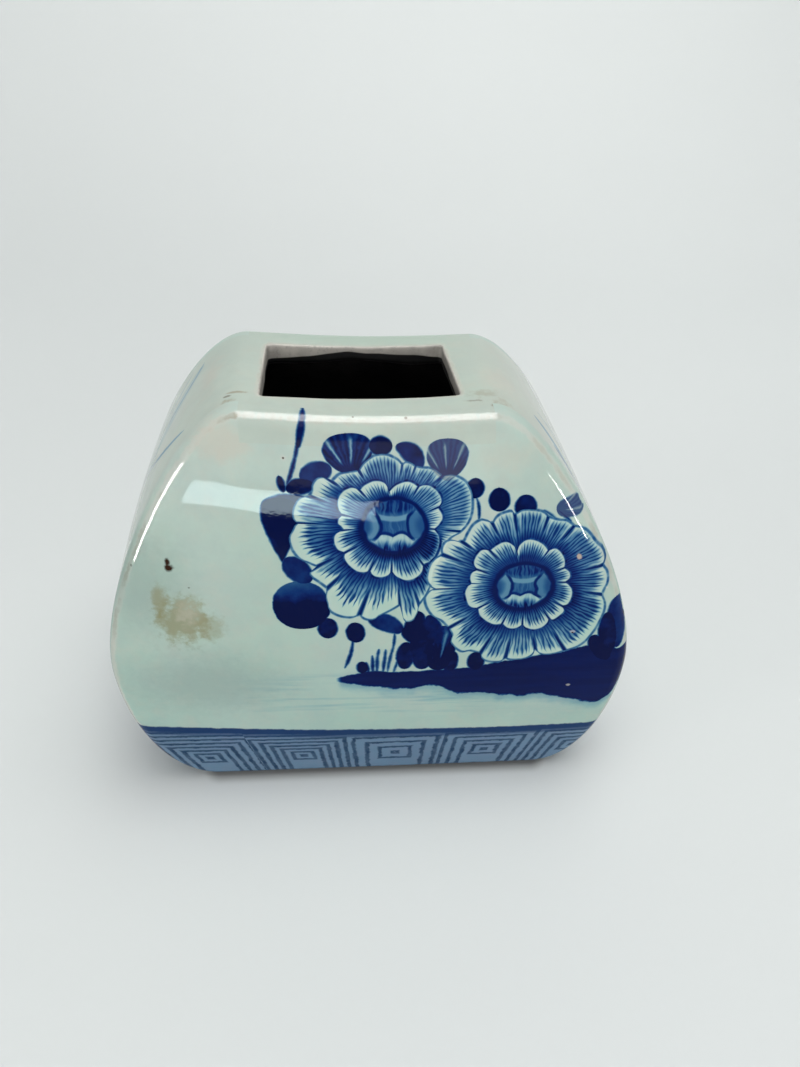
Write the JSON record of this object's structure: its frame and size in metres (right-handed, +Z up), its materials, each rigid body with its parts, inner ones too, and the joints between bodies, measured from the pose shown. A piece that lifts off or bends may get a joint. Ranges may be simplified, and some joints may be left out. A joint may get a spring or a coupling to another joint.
{
  "type": "calligraphy water pot",
  "caption": "Slab-built blue-and-white porcelain water pot with a narrow flat top, swelling belly and rectangular mouth, for ink and brush work.",
  "frame": {"origin": "centre of the bounding box on the plane that the pot stands on", "axes": "+X along the painted front to the viewer's right, +Y from the painted front to the back, +Z up through the mouth"},
  "size_m": [0.1101, 0.064, 0.094],
  "materials": {
    "painted_glaze": "clear celadon glaze over cobalt brush painting",
    "pale_glaze": "clear celadon glaze",
    "bare_clay": "unglazed fired clay",
    "inked_clay": "unglazed clay stained by ink and water"
  },
  "bodies": {
    "root": {"front_slab": "painted_glaze", "back_slab": "painted_glaze", "left_wall": "pale_glaze", "right_wall": "pale_glaze", "top_slab": "pale_glaze", "base_slab": "bare_clay", "front_seam_coil": "inked_clay", "back_seam_coil": "inked_clay", "left_foot_coil": "inked_clay", "right_foot_coil": "inked_clay", "left_top_coil": "inked_clay", "right_top_coil": "inked_clay"}
  },
  "joints": []
}
